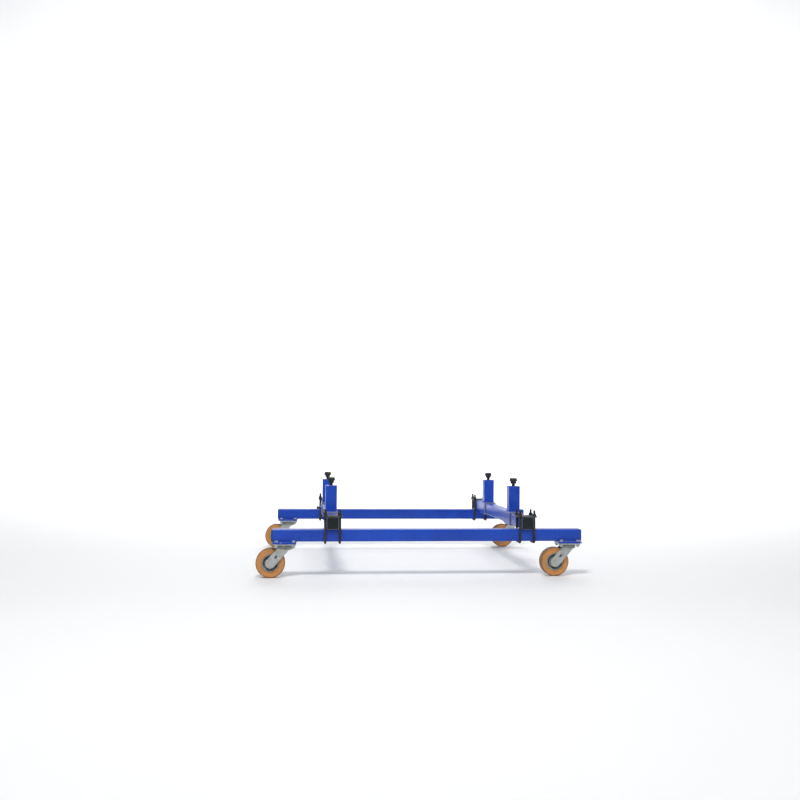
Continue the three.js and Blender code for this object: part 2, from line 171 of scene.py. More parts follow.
# a plate with its edges eased: the outline drawn in by the bevel at both faces; with a bore, two
# circles whose points lie on the outline's own rays close the loop through the hole
def plateRings(halfU, halfV, corner, low, high, bevel, axis, centre, bore=0.0):
    step = edgeLook["step"]
    insets = np.array([1.0, step, 0, 0, step, 1.0]) * bevel
    heights = [low, low + step * bevel, low + bevel, high - bevel, high - step * bevel, high]
    loops = [squareLoop(halfU - d, halfV - d, max(corner - d, edgeLook["leastCorner"])) for d in insets]
    if bore:
        rays = loops[0] / np.linalg.norm(loops[0], axis=1, keepdims=True)
        loops = [rays * bore] + loops + [rays * bore]
        heights = [low] + heights + [high]
    return placed(loops, heights, axis, centre)


# shares of the width across flats, of the corners' height over the flats, and of a washer's thickness
nutLook = {"face": 0.48, "shoulder": 0.535, "drop": 0.6, "shoulderDrop": 0.45, "washerEase": 0.25,
           "around": 48, "washerAround": 40}


# hexagon nut or head with chamfered corners: at each height the hexagon is held inside a cone
def hexRings(flats, low, high, axis, centre, bore=0.0):
    corner = flats / math.sqrt(3)
    drop = (corner - flats / 2) * nutLook["drop"]
    levels = [(low, flats * nutLook["face"]), (low + drop, corner), (high - drop, corner),
              (high - drop * nutLook["shoulderDrop"], flats * nutLook["shoulder"]),
              (high, flats * nutLook["face"])]
    loops = [hexLoop(flats, limit, nutLook["around"]) for height, limit in levels]
    heights = [height for height, limit in levels]
    if bore:
        hole = roundLoop(bore, nutLook["around"])
        loops = [hole] + loops + [hole]
        heights = [low] + heights + [high]
    return placed(loops, heights, axis, centre)


# washer: a ring turned from a rectangle whose two outer corners are cut off
def washerRings(inner, outer, low, high, axis, centre):
    ease = (high - low) * nutLook["washerEase"]
    profile = [(inner, low), (outer - ease, low), (outer, low + ease), (outer, high - ease),
               (outer - ease, high), (inner, high)]
    return turnedRings(profile, axis, centre, nutLook["washerAround"])


threadLook = {"depth": 0.61, "runOut": 1.2, "tip": 0.5}  # shares of the pitch


# threaded rod: the radius falls and rises by a triangle wave of height over pitch less the turn,
# which makes one helical groove; it fades in at the lower end and runs out at the upper one
def threadRings(radius, pitch, low, high, axis, centre, fade=0.0, count=20, perTurn=6):
    rows = max(int((high - low) / pitch * perTurn), 4)
    heights = np.linspace(low, high, rows)
    turn = np.arange(count) / count
    phase = np.mod(heights[:, None] / pitch - turn[None, :], 1)
    depth = threadLook["depth"] * pitch * (1 - np.abs(2 * phase - 1))
    grow = np.clip((heights - low) / max(fade, 1e-6), 0, 1)[:, None] if fade else 1.0
    ends = np.clip((high - heights) / (threadLook["runOut"] * pitch), 0.0, 1)[:, None]
    tip = (1 - ends) * threadLook["tip"] * pitch
    radii = radius - depth * grow * ends - tip
    circle = roundLoop(1.0, count)
    return placed(circle[None] * radii[..., None], heights, axis, centre)


beadLook = {"ripple": 0.0022, "rows": 5, "trough": 0.86, "rise": 0.14, "taper": 0.05, "wear": 0.35,
            "around": 10}


# weld bead along a line: a half-sunk round rod whose radius swells in even ripples, by the height of
# a sine, and shrinks at the ends by the square root of the distance left
def weldBead(welds, start, end, radius):
    start, end = np.array(start, float), np.array(end, float)
    length = np.linalg.norm(end - start)
    along = (end - start) / length
    side = np.cross(along, [0, 0, 1.0])
    if np.linalg.norm(side) < 0.1:
        side = np.cross(along, [0, 1.0, 0])
    side /= np.linalg.norm(side)
    over = np.cross(side, along)
    ripple = beadLook["ripple"]
    rows = max(int(length / ripple * beadLook["rows"]), 6)
    s = np.linspace(0, length, rows)
    swell = radius * (beadLook["trough"] + beadLook["rise"] * np.abs(np.sin(math.pi * s / ripple)))
    swell = swell * np.sqrt(np.clip(np.minimum(s, length - s) / (2 * radius), beadLook["taper"], 1))
    circle = roundLoop(1.0, beadLook["around"])
    rings = start + along * s[:, None, None]
    rings = rings + circle[None, :, :1] * swell[:, None, None] * side
    welds.loft(rings + circle[None, :, 1:] * swell[:, None, None] * over, wear=beadLook["wear"])


# wraps a socket, so that sums and products of values add their Math nodes
class Value:
    def __init__(self, maker, socket):
        self.maker, self.socket = maker, socket

    def __add__(self, other):
        return self.maker.math("ADD", self, other)

    def __sub__(self, other):
        return self.maker.math("SUBTRACT", self, other)

    def __rsub__(self, other):
        return self.maker.math("SUBTRACT", other, self)

    def __mul__(self, other):
        return self.maker.math("MULTIPLY", self, other)

    __radd__ = __add__
    __rmul__ = __mul__


# one material in the making: constants go on the shader's own sockets, and `feed` links the rest
class Finish:
    def __init__(self, name, **constants):
        self.material = bpy.data.materials.new(name)
        self.material.use_nodes = True
        self.tree = self.material.node_tree
        self.shader = self.tree.nodes["Principled BSDF"]
        for key, value in constants.items():
            self.shader.inputs[key.replace("_", " ")].default_value = value
        self.place = self.node("ShaderNodeTexCoord", {}, {}, "Object")
        # the value at each point: wear where positive, and a mask for painted shade where negative
        self.wearAndShade = self.node("ShaderNodeAttribute", {"attribute_name": "edgeWearAndShade"}, {}, "Fac")

    # adds a node: its settings first, then its sockets' values or links
    def node(self, kind, settings, sockets, out=0):
        made = self.tree.nodes.new(kind)
        for key, value in settings.items():
            setattr(made, key, value)
        for key, value in sockets.items():
            if isinstance(value, Value):
                self.tree.links.new(value.socket, made.inputs[key])
            else:
                made.inputs[key].default_value = value
        return Value(self, made.outputs[out])

    def math(self, operation, first, second=0.0):
        return self.node("ShaderNodeMath", {"operation": operation}, {0: first, 1: second})

    def noise(self, scale, detail=3.0, rough=0.55, stretch=None, warp=0.0):
        place = self.place
        if stretch:
            place = self.node("ShaderNodeMapping", {}, {"Vector": place, "Scale": stretch})
        return self.node("ShaderNodeTexNoise", {}, {
            "Vector": place, "Scale": scale, "Detail": detail, "Roughness": rough,
            "Distortion": warp}, "Fac")

    def cells(self, scale, out="Distance"):
        return self.node("ShaderNodeTexVoronoi", {}, {"Vector": self.place, "Scale": scale}, out)

    def ease(self, value, low, high):
        return self.node("ShaderNodeMapRange", {"interpolation_type": "SMOOTHSTEP"}, {
            "Value": value, "From Min": low, "From Max": high, "To Min": 0.0, "To Max": 1.0})

    def blend(self, amount, first, second):
        return self.node("ShaderNodeMix", {"data_type": "RGBA"}, {0: amount, 6: first, 7: second}, 2)

    # lays colours over a first one in turn, each by its own amount
    def layers(self, colour, *coats):
        for amount, tint in coats:
            colour = self.blend(amount, colour, tint)
        return colour

    # how far the surface faces up, from 0 at a wall to 1 on a flat top
    def upward(self):
        normal = self.node("ShaderNodeNewGeometry", {}, {}, "Normal")
        return self.ease(self.node("ShaderNodeSeparateXYZ", {}, {0: normal}, "Z"), 0.6, 1.0)

    def bump(self, height, strength, distance):
        return self.node("ShaderNodeBump", {}, {
            "Strength": strength, "Distance": distance, "Height": height}, "Normal")

    def feed(self, **links):
        for key, value in links.items():
            self.tree.links.new(value.socket, self.shader.inputs[key.replace("_", " ")])
        return self.material


paintLook = {
    "blue": (0.004, 0.057, 0.44, 1), "deep": (0.003, 0.040, 0.33, 1), "primer": (0.20, 0.21, 0.23, 1),
    "steel": (0.42, 0.42, 0.43, 1), "dust": (0.40, 0.43, 0.52, 1),
}


# clouded blue under a thin coat; chips where wear plus noise passes a threshold, small pits, long
# scratches, dust that settles on what faces up, and bare metal where the wear is over one
def bluePaint():
    made = Finish("blue_paint", Coat_Roughness=0.2, Specular_IOR_Level=0.25)
    cloud = made.noise(2.6, 4)
    drift = made.noise(11, 5, 0.6)
    colour = made.blend(made.ease(cloud * 0.6 + drift * 0.4, 0.35, 0.68),
                        paintLook["blue"], paintLook["deep"])
    dusty = made.upward() * made.ease(made.noise(17, 7, 0.65), 0.30, 0.72) * 0.30
    colour = made.blend(dusty, colour, paintLook["dust"])
    fleck = made.noise(330, 6, 0.7)
    chip = made.ease(made.wearAndShade * 0.34 + made.noise(48, 8, 0.68), 0.82, 0.88)
    pit = made.ease(fleck + drift * 0.25, 0.88, 0.92)
    scratch = made.ease(made.noise(26, 9, 0.75, stretch=(1.0, 14, 14)), 0.745, 0.77) * 0.45
    cut = made.ease(made.wearAndShade, 1.15, 1.4)
    bare = made.math("MAXIMUM", made.math("MAXIMUM", chip, pit), made.math("MAXIMUM", scratch, cut))
    colour = made.blend(bare, colour, made.blend(fleck, paintLook["primer"], paintLook["steel"]))
    peel = made.noise(420, 2, 0.5)
    height = peel * 0.35 - bare * 0.9 + drift * 0.3
    return made.feed(
        Base_Color=colour, Metallic=bare * 0.55,
        Roughness=0.30 + cloud * 0.10 + dusty * 0.9 + bare * 0.16,
        Coat_Weight=(1 - bare) * (1 - dusty) * 0.24,
        Normal=made.bump(height, 0.28, 0.0006))


zincLook = {"pale": (0.50, 0.51, 0.50, 1), "grey": (0.35, 0.365, 0.36, 1), "olive": (0.40, 0.42, 0.33, 1),
            "paintedShadeGrey": (0.13, 0.165, 0.155, 1), "grimeAndShade": (0.10, 0.098, 0.09, 1)}


# plated steel: cells of tone from Voronoi colours, a faint olive tint, grime in patches that gathers more
# where the wear value is negative, and painted shade, a dark grey-green, there: on the swivel crown and
# the race dish
def zincPlate():
    made = Finish("zinc_plate")
    tone = made.node("ShaderNodeSeparateColor", {}, {0: made.cells(120, "Color")}, 0)
    cloud = made.noise(16, 6, 0.6)
    fine = made.noise(380, 4, 0.6)
    rubbed = made.noise(70, 6, 0.7, stretch=(1, 9, 1))
    clouded = made.ease(tone * 0.3 + cloud * 0.7, 0.3, 0.8)
    tint = made.ease(made.noise(30, 5), 0.48, 0.72) * 0.3
    # painted shade: dark grey-green where the wear value is negative, on the swivel crown and the race
    # dish
    paintedShade = made.ease(0 - made.wearAndShade, 0.1, 0.9)
    # grime in patches, raised where the wear value is negative, which adds to the painted shade there
    grimeAndShade = made.ease(made.noise(42, 8, 0.7) - made.wearAndShade * 0.14, 0.57, 0.74) * 0.5
    colour = made.layers(zincLook["pale"], (clouded, zincLook["grey"]), (tint, zincLook["olive"]),
                         (paintedShade * 0.5, zincLook["paintedShadeGrey"]), (grimeAndShade, zincLook["grimeAndShade"]))
    return made.feed(
        Base_Color=colour, Metallic=0.86 - grimeAndShade * 0.6 - paintedShade * 0.35,
        Roughness=0.26 + tone * 0.08 + rubbed * 0.18 + grimeAndShade * 0.3 + paintedShade * 0.2,
        Normal=made.bump(fine * 0.5 + rubbed * 0.4 + tone * 0.15 - grimeAndShade * 0.3, 0.24, 0.0004))


blackLook = {"dark": (0.012, 0.012, 0.014, 1), "pale": (0.035, 0.036, 0.041, 1),
             "rust": (0.085, 0.035, 0.015, 1), "steel": (0.33, 0.33, 0.34, 1)}


# blackened steel: dark cloud, warm rust in patches, and bright metal where the wear is rubbed through
def blackSteel():
    made = Finish("black_steel", Specular_IOR_Level=0.3)
    cloud = made.noise(35, 6, 0.65)
    rub = made.ease(made.wearAndShade * 0.34 + made.noise(90, 8, 0.7), 0.82, 0.96) * 0.8
    rust = made.ease(made.noise(58, 7, 0.7, warp=0.6), 0.64, 0.76) * 0.45
    colour = made.layers(blackLook["dark"], (cloud, blackLook["pale"]), (rust, blackLook["rust"]),
                         (rub, blackLook["steel"]))
    fine = made.noise(520, 3)
    return made.feed(
        Base_Color=colour, Metallic=rub * 0.9,
        Roughness=0.42 + cloud * 0.16 + rust * 0.3 - rub * 0.16,
        Normal=made.bump(fine * 0.6 + rust * 0.5, 0.25, 0.0004))


plasticLook = {"black": (0.010, 0.015, 0.016, 1), "scuff": (0.085, 0.095, 0.10, 1)}


# moulded plastic: fine cells as grain and long pale scuffs
def blackPlastic():
    made = Finish("black_plastic", Specular_IOR_Level=0.18)
    grain = made.cells(900)
    cloud = made.noise(40, 5)
    scuff = made.ease(made.noise(60, 8, 0.75, stretch=(1, 1, 7)) + made.wearAndShade * 0.12, 0.68, 0.78)
    colour = made.blend(scuff * 0.6, plasticLook["black"], plasticLook["scuff"])
    return made.feed(
        Base_Color=colour, Roughness=0.46 + cloud * 0.18 + scuff * 0.15,
        Normal=made.bump(grain * 0.8 + cloud * 0.3, 0.3, 0.0003))


coreLook = {"pale": (0.33, 0.345, 0.345, 1), "grey": (0.21, 0.225, 0.225, 1),
            "paintedShade": (0.085, 0.088, 0.088, 1), "grimeAndShade": (0.09, 0.082, 0.072, 1)}


# painted casting: speckle over cloud, with grime in patches that gathers more in the web's hollow, and
# painted shade, a dark grey, over that hollow, where the wear value is negative
def greyCore():
    made = Finish("grey_core", Specular_IOR_Level=0.35)
    speck = made.noise(700, 3, 0.6)
    cloud = made.noise(22, 5)
    grimeAndShade = made.ease(made.noise(38, 8, 0.7) - made.wearAndShade * 0.15, 0.50, 0.72) * 0.5
    # painted shade: dark grey over the web's outer hollow, where the wear value is negative
    paintedShade = made.ease(0 - made.wearAndShade, 0.1, 0.9)
    colour = made.layers(coreLook["pale"], (speck * 0.6 + cloud * 0.3, coreLook["grey"]),
                         (paintedShade * 0.55, coreLook["paintedShade"]), (grimeAndShade, coreLook["grimeAndShade"]))
    return made.feed(
        Base_Color=colour, Roughness=0.42 + cloud * 0.15 + grimeAndShade * 0.25,
        Normal=made.bump(speck * 0.6 - grimeAndShade * 0.4, 0.3, 0.0004))


# "rim" is the colour of the painted shadow line on the tread's lip next to the core
amberLook = {"amber": (0.62, 0.27, 0.075, 1), "brown": (0.46, 0.18, 0.045, 1),
             "olive": (0.30, 0.20, 0.065, 1), "runningDark": (0.15, 0.082, 0.042, 1),
             "dirt": (0.14, 0.10, 0.07, 1), "rim": (0.075, 0.05, 0.03, 1)}


# cast polyurethane: amber with olive patches, darker brown over the running face and shoulders, where the
# wear value nears one, and painted shadow, a dark line on the lip next to the core, where the wear value
# is negative
def amberTread():
    made = Finish("amber_polyurethane", Subsurface_Weight=0.1, Subsurface_Scale=0.006,
                  Coat_Roughness=0.25, Specular_IOR_Level=0.35)
    cloud = made.noise(14, 5, 0.6)
    olive = made.ease(made.noise(19, 6, 0.6), 0.46, 0.66)
    # darker brown over the running face and round shoulders, where the wear value nears one
    runningDark = made.ease(made.wearAndShade + made.noise(55, 8, 0.7) * 0.6, 0.66, 1.2)
    dirt = made.ease(made.noise(75, 8, 0.72) + made.wearAndShade * 0.10, 0.52, 0.70)
    # painted shadow: a dark line on the tread's lip next to the core, where the wear value is negative
    rim = made.ease(0 - made.wearAndShade, 0.1, 0.9)
    colour = made.layers(
        amberLook["amber"], (cloud, amberLook["brown"]), (olive * 0.5, amberLook["olive"]),
        (runningDark * 0.68, amberLook["runningDark"]), (dirt * 0.38, amberLook["dirt"]),
        (rim * 0.75, amberLook["rim"]))
    pits = made.cells(260)
    return made.feed(
        Base_Color=colour, Roughness=0.34 + runningDark * 0.28 + dirt * 0.15 + cloud * 0.06,
        Coat_Weight=(1 - runningDark) * 0.2,
        Normal=made.bump(made.noise(240, 4) * 0.5 + pits * 0.3 - dirt * 0.3, 0.3, 0.0005))


rubberLook = {"black": (0.016, 0.016, 0.016, 1), "bloom": (0.085, 0.083, 0.08, 1)}


# rubber: fine grain with a grey bloom
def padRubber():
    made = Finish("pad_rubber")
    grain = made.noise(620, 5, 0.7)
    bloom = made.ease(made.noise(34, 7, 0.65) + made.wearAndShade * 0.18, 0.5, 0.75)
    colour = made.blend(bloom * 0.5, rubberLook["black"], rubberLook["bloom"])
    return made.feed(
        Base_Color=colour, Roughness=0.72 + bloom * 0.14,
        Normal=made.bump(grain, 0.45, 0.0005))


coats = {"blue_paint": bluePaint(), "zinc": zincPlate(), "black_steel": blackSteel(),
         "black_plastic": blackPlastic(), "grey_core": greyCore(), "polyurethane": amberTread(),
         "rubber": padRubber()}  # by the slot that takes each
print("finishes made")


# a node's lowest and highest corners, and the point halfway between them
def extent(node):
    low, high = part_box(node)
    return low, high, (low + high) / 2


joints = {joint["name"]: joint for joint in frame["joints"]}


# everything a corner's pieces are placed by
def cornerPlaces(name):
    end, side = name.split("_")
    swivel, axle = (Vector(joints[f"{name}_{joint}"]["pos_m"]) for joint in ("swivel_turn", "wheel_spin"))
    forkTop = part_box(f"caster_fork_{name}")[1].z
    return {
        "side": side, "along": 1 if end == "front" else -1, "sideBody": f"{side}_side",
        "clampBody": f"{end}_cross" if side == "right" else f"{end}_left_clamp",
        "swivel": (swivel.x, swivel.y, 0), "hub": (axle.x, swivel.y, axle.z), "trail": axle.x - swivel.x,
        "forkTop": forkTop, "crownBottom": forkTop - casterLook["crownDepth"],
    }


tubeLook = {"corner": 0.006, "wall": 0.004, "ease": 0.0006, "steps": 7, "edgeRub": 0.66,
            "cutEdge": 1.8, "leastCorner": 0.001}


# square tube: the outline carried from end to end outside, drawn in by the wall, and back inside;
# the paint is rubbed along its corners, as a half sine of the corner's turn, and cut at its ends
def squareTube(piece, half, low, high, axis, centre, wall=tubeLook["wall"], corner=tubeLook["corner"]):
    ease = tubeLook["ease"]
    rows = [(0, low + ease), (0, high - ease), (ease, high), (wall - ease, high),
            (wall, high - ease), (wall, low + ease), (wall - ease, low), (ease, low)]
    loops = [squareLoop(half - d, half - d, max(corner - d, tubeLook["leastCorner"]), tubeLook["steps"])
             for d, height in rows]
    heights = [height for d, height in rows]
    bend = np.sin(np.linspace(0, math.pi, tubeLook["steps"] + 1))
    around = np.tile(bend * tubeLook["edgeRub"], 4)[None, :]
    outside = np.array([1, 1, 1, 0, 0, 0, 0, 1])[:, None]
    cut = np.array([0, 0, 1, 1, 0, 0, 1, 1])[:, None] * tubeLook["cutEdge"]
    wearAndShade = np.maximum(around * outside, cut)
    piece.loft(placed(loops, heights, axis, centre), joined=True, wear=wearAndShade)


# moulded end plug: a flange a little smaller than the tube, so that the cut edge shows round it,
# with a round lip and a shallow dished middle, on a block that goes into the tube
plugLook = {"dish": 0.0011, "lip": 0.0045, "ease": 0.0011, "seat": 0.0003, "block": 0.018,
            "inset": 0.0022, "gap": 0.0004, "leastCorner": 0.0012,
            "hollow": ((0.55, 0.8), (0.9, 0.6)),  # shares of the half width and of the dish
            "wear": (0, 0, 0.6, 1, 1, 1, 0.5, 0.2, 0, 0)}


def endPlug(name, node, axis, sign, tubeEnd, half, body):
    low, high, centre = extent(node)
    index = "xyz".index(axis)
    centre[index] = tubeEnd
    top = (high[index] if sign > 0 else low[index]) - tubeEnd
    seat, ease, edge, dish, lip = (plugLook[key] for key in ("seat", "ease", "inset", "dish", "lip"))
    inner, step = tubeLook["wall"] + plugLook["gap"], edgeLook["step"]
    rows = [(inner, -plugLook["block"] * sign), (inner, seat * sign), (edge, seat * sign),
            (edge, top - ease * sign), (edge + ease * step, top - ease * step * sign), (edge + ease, top),
            (edge + lip, top), (edge + lip + dish, top - dish * sign)]
    rows += [(half * part, top - dish * depth * sign) for part, depth in plugLook["hollow"]]
    loops = [squareLoop(half - d, half - d, max(tubeLook["corner"] - d, plugLook["leastCorner"]))
             for d, height in rows]
    rings = placed(loops, [height for d, height in rows], axis, centre)
    piece = Piece().loft(rings, wear=np.array(plugLook["wear"])[:, None])
    piece.finish(name, body, "black_plastic", node)


# a plain tube between its node's ends, with a plug in each
def pluggedTube(node, axis, body, plugs):
    low, high, centre = extent(node)
    index = "xyz".index(axis)
    half = (high.z - low.z) / 2
    centre[index] = 0
    piece = Piece()
    squareTube(piece, half, low[index], high[index], axis, centre)
    piece.finish(f"{node}_tube", body, "blue_paint", node)
    for place, sign, plug in plugs:
        end = high[index] if sign > 0 else low[index]
        endPlug(f"{node}_{place}_cap", plug, axis, sign, end, half, body)


# the two rails along X and the two cross tubes along Y
def tubes():
    for side in ("right", "left"):
        plugs = [(end, sign, f"rail_plug_{end}_{side}") for end, sign in (("front", 1), ("rear", -1))]
        pluggedTube(f"rail_{side}", "x", f"{side}_side", plugs)
    for end in ("front", "rear"):
        plugs = [(side, sign, f"cross_plug_{end}_{side}") for side, sign in (("left", 1), ("right", -1))]
        pluggedTube(f"cross_tube_{end}", "y", f"{end}_cross", plugs)


boltLook = {"flats": 0.017, "headHeight": 0.0066, "nutHeight": 0.0084, "radius": 0.005, "pitch": 0.0015,
            "washer": 0.0105, "hole": 0.0052, "thick": 0.002, "spread": 0.045, "show": 0.004}
# the side beads are sunk by a share of their radius; the end bead is set in, lower and thinner
mountLook = {"corner": 0.008, "bevel": 0.0012, "bead": 0.0032, "sunk": 0.35, "sideGap": 0.006,
             "endGap": 0.004, "endOut": 0.0008, "endDrop": 0.0004, "endShare": 0.9}


# an eased plate under the rail's end, with a bead along each side of the rail and across its inner end
def mountPlate(name, at):
    look, node = mountLook, f"mount_plate_{name}"
    low, high, centre = extent(node)
    half = (high - low) / 2
    piece = Piece().loft(plateRings(half.x, half.y, look["corner"], low.z, high.z,
                                    look["bevel"], "z", (centre.x, centre.y, 0)), wear=plateWear)
    piece.finish(f"{node}_steel", at["sideBody"], "blue_paint", node)
    railLow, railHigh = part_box(f"rail_{at['side']}")
    bead, gap = look["bead"], look["sideGap"]
    rise = bead * look["sunk"]
    welds = Piece()
    for face, out in ((railLow.y, -1), (railHigh.y, 1)):
        y, z = face + out * rise, high.z + rise
        weldBead(welds, (low.x + gap, y, z), (high.x - gap, y, z), bead)
    x = (low.x if at["along"] > 0 else high.x) - at["along"] * look["endOut"]
    z, gap = high.z - look["endDrop"], look["endGap"]
    weldBead(welds, (x, railLow.y + gap, z), (x, railHigh.y - gap, z), bead * look["endShare"])
    welds.finish(f"mount_weld_{name}", at["sideBody"], "blue_paint")


# four bolts through both plates: washer and head on the mount plate beside the rail, washer and nut
# under the caster plate, and the thread's end past the nut
def plateBolts(name, at):
    look = boltLook
    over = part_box(f"mount_plate_{name}")[1].z
    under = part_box(f"caster_plate_{name}")[1].z - casterLook["plateThick"]
    thick, spread, flats = look["thick"], look["spread"], look["flats"]
    piece = Piece()
    for across in (-spread, spread):
        for along in (-spread, spread):
            spot = (at["swivel"][0] + along, at["swivel"][1] + across, 0)
            for low, high in ((over, over + thick), (under - thick, under)):
                piece.loft(washerRings(look["hole"], look["washer"], low, high, "z", spot),
                           joined=True, wear=0.5)
            head = over + thick
            piece.loft(hexRings(flats, head, head + look["headHeight"], "z", spot), wear=0.6)
            nut = under - thick - look["nutHeight"]
            piece.loft(hexRings(flats, nut, under - thick, "z", spot), wear=0.6)
            piece.loft(threadRings(look["radius"], look["pitch"], nut - look["show"], over,
                                   "z", spot), wear=0.4)
    piece.finish(f"caster_bolts_{name}", at["sideBody"], "zinc")


# race steps are insets from the crown and depths under the plate
casterLook = {
    "plateThick": 0.006, "plateBevel": 0.0009, "plateCorner": 0.008, "crown": 0.044, "cupWall": 0.006,
    "crownDepth": 0.019, "bossDepth": 0.005, "nutFlats": 0.024, "legOut": 0.0355, "legThick": 0.005,
    "legEnd": 0.026, "legRear": 0.038, "legFront": 0.013, "flare": 0.012, "slotRadius": 0.0045,
    "slotHalf": 0.0035, "slotUp": 0.044, "legEase": 0.0009, "bow": 0.35, "endPoints": 25,
    "flange": 0.0016, "flangeIn": 0.0006, "gap": 0.0003, "axis": 0.001, "pin": 0.008, "pinTip": 0.0066,
    "pinEase": 0.0012, "raceSteps": ((0.001, -0.001), (0.001, 0.0022), (0.0072, 0.0034), (0.0075, 0.0152)),
    "raceSoft": 0.0012, "bore": 0.0084, "boss": (0.030, 0.033), "crownRound": (0.003, 0.005),
    "cupSoft": 0.0018,
}


# fixed race: a pressed dish under the top plate, with the kingpin and its nut below the crown
def casterPlate(name, at):
    look, node = casterLook, f"caster_plate_{name}"
    low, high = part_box(node)
    half = (high - low) / 2
    under = high.z - look["plateThick"]
    centre = at["swivel"]
    piece = Piece().loft(plateRings(half.x, half.y, look["plateCorner"], under, high.z,
                                    look["plateBevel"], "z", centre), wear=plateWear)
    crown, axis, pin = look["crown"], look["axis"], look["pin"]
    race = [(crown - inset, under - depth) for inset, depth in look["raceSteps"]]
    race = softened([(axis, race[0][1])] + race + [(axis, race[-1][1])], look["raceSoft"])
    # a negative wear value on the race dish paints shade on it in the zinc finish
    piece.loft(turnedRings(race, "z", centre), wear=-0.8)
    nutTop = at["crownBottom"] - look["bossDepth"] - look["gap"]
    pinEnd = low.z + look["pinEase"]
    piece.loft(hexRings(look["nutFlats"], pinEnd, nutTop, "z", centre), wear=0.5)
    piece.loft(turnedRings([(look["pinTip"], low.z), (pin, pinEnd), (pin, under)], "z", centre, 24),
               wear=0.3)
    piece.finish(f"{node}_pressing", at["sideBody"], "zinc", node)


# leg outline in the wheel's plane: a half circle at the axle, and edges up to the crown, of which
# the front one flares out along a shallow quadratic curve
def legOutline(at):
    look, crownBottom = casterLook, at["crownBottom"]
    axle = np.array([at["trail"], at["hub"][2]])
    lean = math.atan2(crownBottom - axle[1], (look["legFront"] - look["legRear"]) / 2 - axle[0])
    turn = np.linspace(lean + math.pi / 2, lean + 1.5 * math.pi, look["endPoints"])
    end = axle + look["legEnd"] * np.stack([np.cos(turn), np.sin(turn)], 1)
    top = crownBottom + look["cupWall"]
    start = np.array([look["legFront"], crownBottom - look["flare"]])
    finish = np.array([look["legFront"] + look["flare"], crownBottom])
    middle = (start + finish) / 2
    bow = middle + look["bow"] * (np.array([start[0], finish[1]]) - middle)
    t = np.linspace(0, 1, 7)[:, None]
    flare = (1 - t) ** 2 * start + 2 * t * (1 - t) * bow + t ** 2 * finish
    front = np.linspace(end[-1], start, 9)[1:-1]
    upper = np.linspace((finish[0], top), (-look["legRear"], top), 10)
    rear = np.linspace((-look["legRear"], top), end[0], 9)[1:-1]
    hole = axle + look["slotUp"] * np.array([math.cos(lean), math.sin(lean)])
    return np.concatenate([end, front, flare, upper, rear]), hole, lean


# distance from a slot's middle to its edge along each ray: to a straight side where the ray meets
# one, and otherwise to a round end
def slotReach(rays, lean, half, radius):
    along = np.abs(rays @ np.array([math.cos(lean), math.sin(lean)]))
    across = np.sqrt(np.clip(1 - along ** 2, 1e-9, 1))
    side = radius / across
    end = half * along + np.sqrt(np.clip(radius ** 2 - (half * across) ** 2, 0, None))
    return np.where(side * along <= half, side, end)[:, None]


# one leg: rings run from the slot's edge out to the outline, over its thickness, and back
def forkLeg(piece, at, low, high):
    outline, hole, lean = legOutline(at)
    reach = np.linalg.norm(outline - hole, axis=1, keepdims=True)
    rays = (outline - hole) / reach
    slot = slotReach(rays, lean, casterLook["slotHalf"], casterLook["slotRadius"])
    ease = casterLook["legEase"]
    rows = [(slot + ease, low), (reach - ease, low), (reach, low + ease), (reach, high - ease),
            (reach - ease, high), (slot + ease, high), (slot, high - ease), (slot, low + ease)]
    wearAndShade = np.array([0.5, 1, 0.8, 0.8, 1, 0.5, 0.6, 0.6])[:, None]
    loops = np.stack([hole + rays * out for out, height in rows])
    heights = np.broadcast_to(np.array([height for out, height in rows])[:, None], loops.shape[:2])
    rings = np.stack([loops[..., 0], heights, loops[..., 1]], 2)
    piece.loft(rings + np.array(at["swivel"]), joined=True, wear=wearAndShade)


# folded flange along a leg's edge: a rounded strip that stiffens the pressing
def legFlange(piece, at, y):
    rim = legOutline(at)[0][:casterLook["endPoints"]]
    inward = rim - np.array([at["trail"], at["hub"][2]])
    inward = inward / np.linalg.norm(inward, axis=1, keepdims=True)
    path = rim - inward * casterLook["flange"]
    circle = roundLoop(casterLook["flange"], 8)
    rings = np.stack([path[:, 0] + at["swivel"][0], np.full(len(path), y), path[:, 1]], 1)[:, None, :]
    side = np.stack([inward[:, 0], np.zeros(len(path)), inward[:, 1]], 1)[:, None, :]
    rings = rings + side * circle[None, :, :1] + np.array([0, 1.0, 0]) * circle[None, :, 1:]
    piece.loft(rings, wear=0.7)


# turning race: a deep dish round the fixed one, turned from its section, with a leg at each side
def casterFork(name, at):
    look, node = casterLook, f"caster_fork_{name}"
    top, crownBottom = at["forkTop"], at["crownBottom"]
    crown, wall, outside = look["crown"], look["cupWall"], look["legOut"]
    bore, (bossIn, bossOut) = look["bore"], look["boss"]
    roundIn, roundUp = look["crownRound"]
    floorTop, bossEnd = crownBottom + wall, crownBottom - look["bossDepth"]
    cup = softened([(bore, floorTop), (bore, bossEnd), (bossIn, bossEnd), (bossOut, crownBottom),
                    (crown - roundIn, crownBottom), (crown, crownBottom + roundUp), (crown, top),
                    (crown - wall, top), (crown - wall, floorTop), (bore, floorTop)],
                   look["cupSoft"])[:-1]
    # a negative wear value on the cup paints shade on the crown in the zinc finish
    piece = Piece().loft(turnedRings(cup, "z", at["swivel"], 56), joined=True, wear=-0.7)
    for sign in (-1, 1):
        low, high = sorted((sign * (outside - look["legThick"]), sign * outside))
        forkLeg(piece, at, low, high)
        legFlange(piece, at, at["swivel"][1] + sign * (outside - look["flangeIn"]))
    piece.finish(f"{node}_pressing", f"{name}_swivel", "zinc", node)


# shares: how far the shank reaches past the wheel, and the thread's tip against its radius
axleLook = {"radius": 0.006, "flats": 0.0185, "head": 0.0095, "washer": 0.0018, "washerBore": 0.0062,
            "washerOut": 0.0125, "lap": 0.001, "shankShare": 0.6, "tipShare": 0.9}


